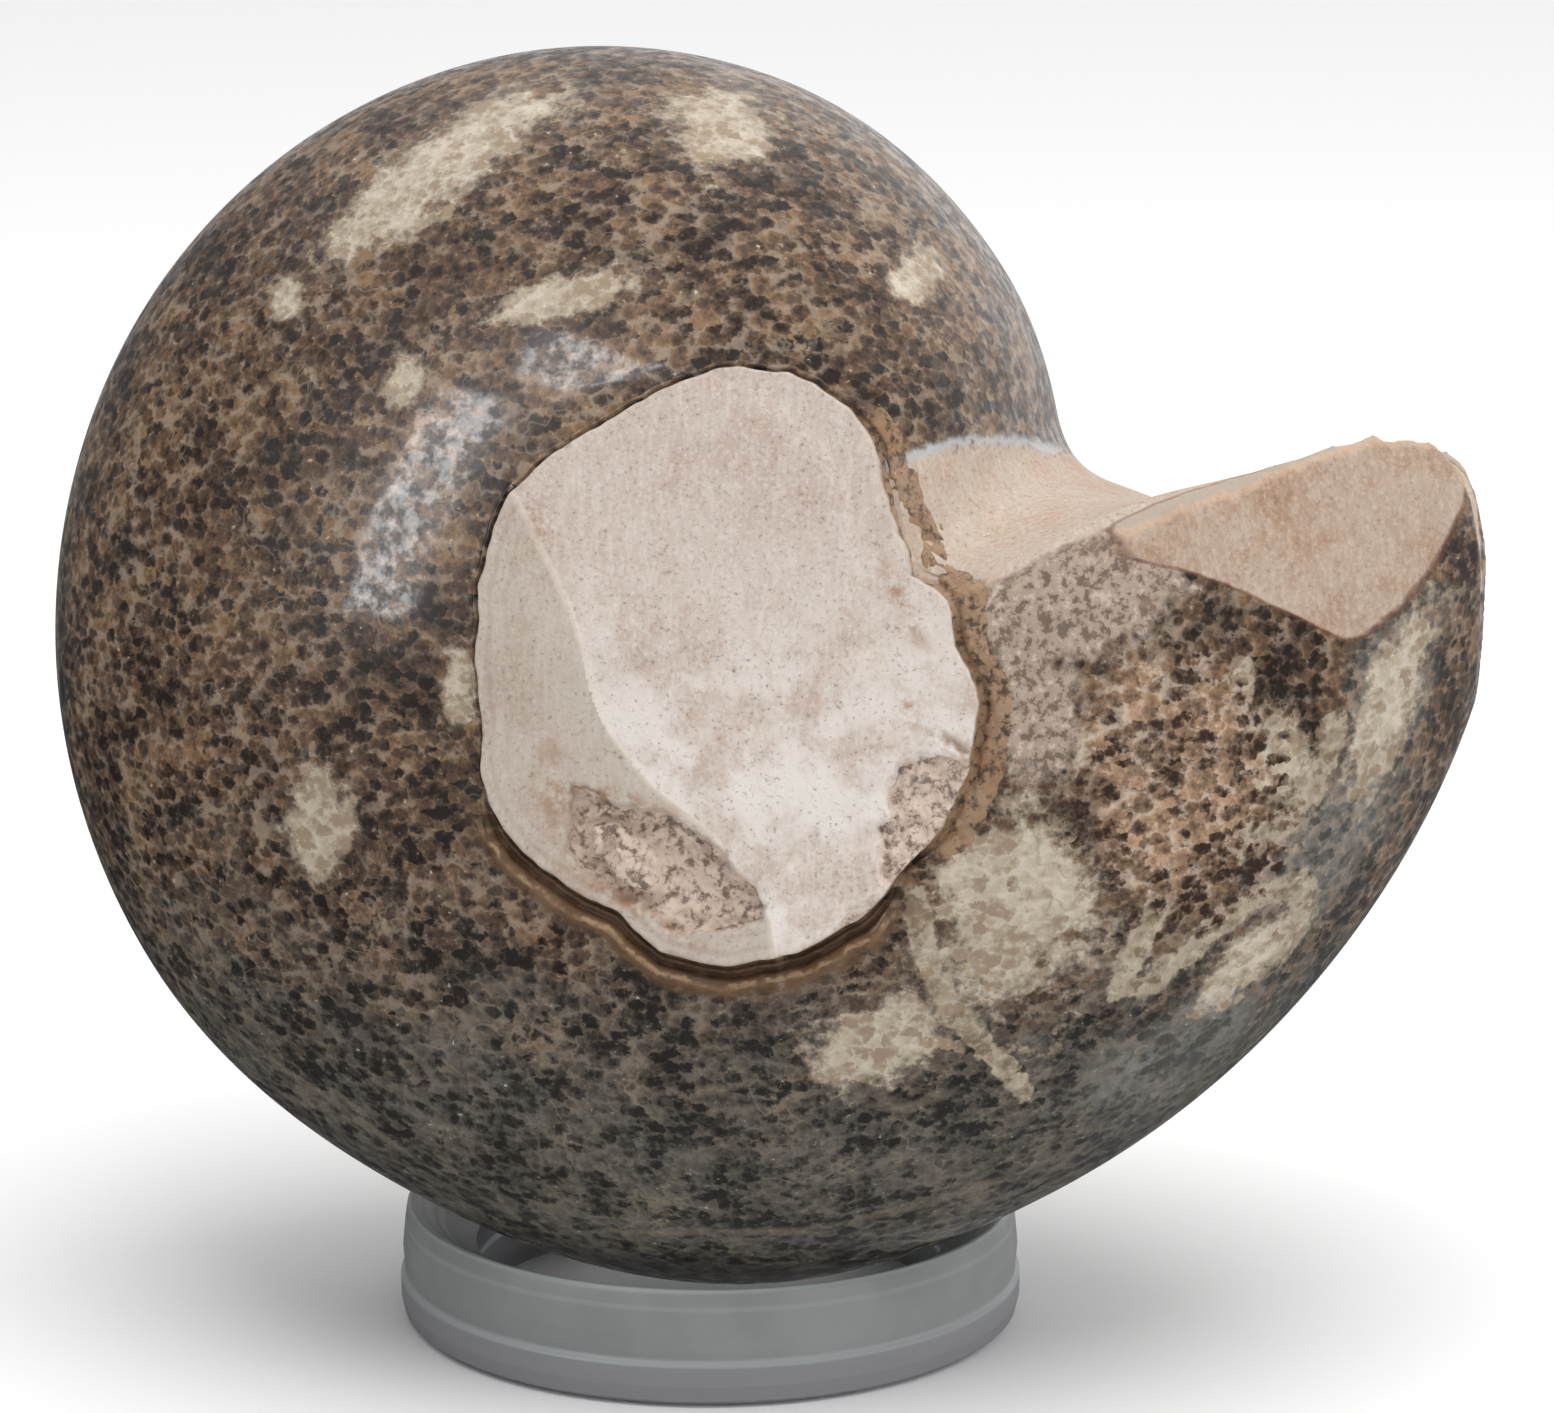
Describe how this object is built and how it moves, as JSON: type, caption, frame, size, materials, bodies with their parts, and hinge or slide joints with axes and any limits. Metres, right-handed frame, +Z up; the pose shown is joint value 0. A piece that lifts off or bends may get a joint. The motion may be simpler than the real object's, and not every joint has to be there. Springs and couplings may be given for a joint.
{
  "type": "ammonite fossil on ring stand",
  "caption": "Polished ammonite fossil with a carved mouth and ground flanks, standing upright in a round ring stand.",
  "frame": {"origin": "middle of the object's box, on the surface that the ring stand rests on", "axes": "+X along the length of the coil towards the carved mouth, +Y away from the near ground flank, +Z up"},
  "size_m": [0.1186, 0.077, 0.1056],
  "materials": {
    "fossil": "polished brown granular calcite with pale matrix on the ground flats",
    "ring_stand": "frosted smoke-grey plastic"
  },
  "bodies": {
    "root": {"fossil": "fossil", "ring_stand": "ring_stand"}
  },
  "joints": []
}
